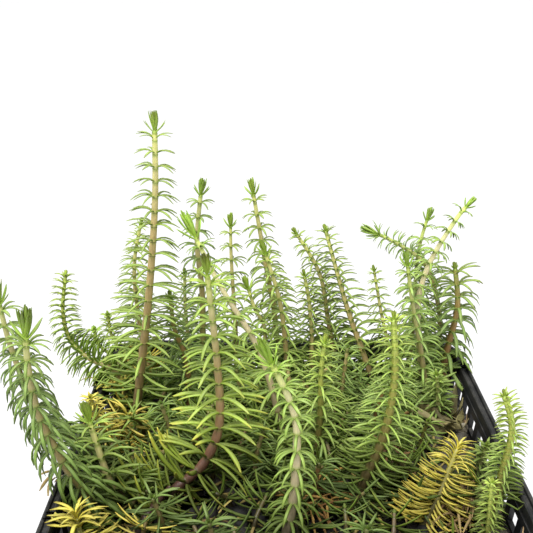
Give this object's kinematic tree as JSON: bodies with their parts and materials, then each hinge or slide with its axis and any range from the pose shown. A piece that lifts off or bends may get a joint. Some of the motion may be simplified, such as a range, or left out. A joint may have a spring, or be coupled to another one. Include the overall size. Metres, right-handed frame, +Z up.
{
  "type": "marestail",
  "caption": "Clump of marestail, narrow leaves in whorls on upright and leaning shoots, in a square mesh-sided aquatic basket of soil topped with gravel.",
  "frame": {"origin": "centre of the basket's flat underside", "axes": "+Z up along the basket's axis, -Y towards the low front of the clump, +X to its right"},
  "size_m": [0.1304, 0.1127, 0.189],
  "materials": {
    "black_plastic": "matt moulded black plastic, dusty in the grooves",
    "soil": "moist dark loam with fine roots",
    "gravel": "matt mixed grey, beige and pinkish grains",
    "stone": "matt worn pebble",
    "foliage": "soft waxy green leaves on pale green to brown stems"
  },
  "bodies": {
    "root": {"basket": "black_plastic", "soil": "soil", "gravel": "gravel", "stone_01": "stone", "stone_02": "stone", "stone_03": "stone", "stone_04": "stone", "stone_05": "stone", "stone_06": "stone", "stone_07": "stone", "shoot_01": "foliage", "shoot_02": "foliage", "shoot_03": "foliage", "shoot_04": "foliage", "shoot_05": "foliage", "shoot_06": "foliage", "shoot_07": "foliage", "shoot_08": "foliage", "shoot_09": "foliage", "shoot_10": "foliage", "shoot_11": "foliage", "shoot_12": "foliage", "shoot_13": "foliage", "shoot_14": "foliage", "shoot_15": "foliage", "shoot_16": "foliage", "shoot_17": "foliage", "shoot_18": "foliage", "shoot_19": "foliage", "shoot_20": "foliage", "shoot_21": "foliage", "shoot_22": "foliage", "shoot_23": "foliage", "shoot_24": "foliage", "shoot_25": "foliage", "shoot_26": "foliage", "shoot_27": "foliage", "shoot_28": "foliage", "shoot_29": "foliage", "shoot_30": "foliage", "shoot_31": "foliage", "shoot_32": "foliage", "shoot_33": "foliage", "shoot_34": "foliage", "shoot_35": "foliage", "shoot_36": "foliage", "shoot_37": "foliage", "shoot_38": "foliage", "shoot_39": "foliage", "shoot_40": "foliage", "shoot_41": "foliage", "shoot_42": "foliage", "shoot_43": "foliage", "shoot_44": "foliage", "shoot_45": "foliage", "shoot_46": "foliage", "shoot_47": "foliage", "shoot_48": "foliage", "shoot_49": "foliage", "shoot_50": "foliage"}
  },
  "joints": []
}
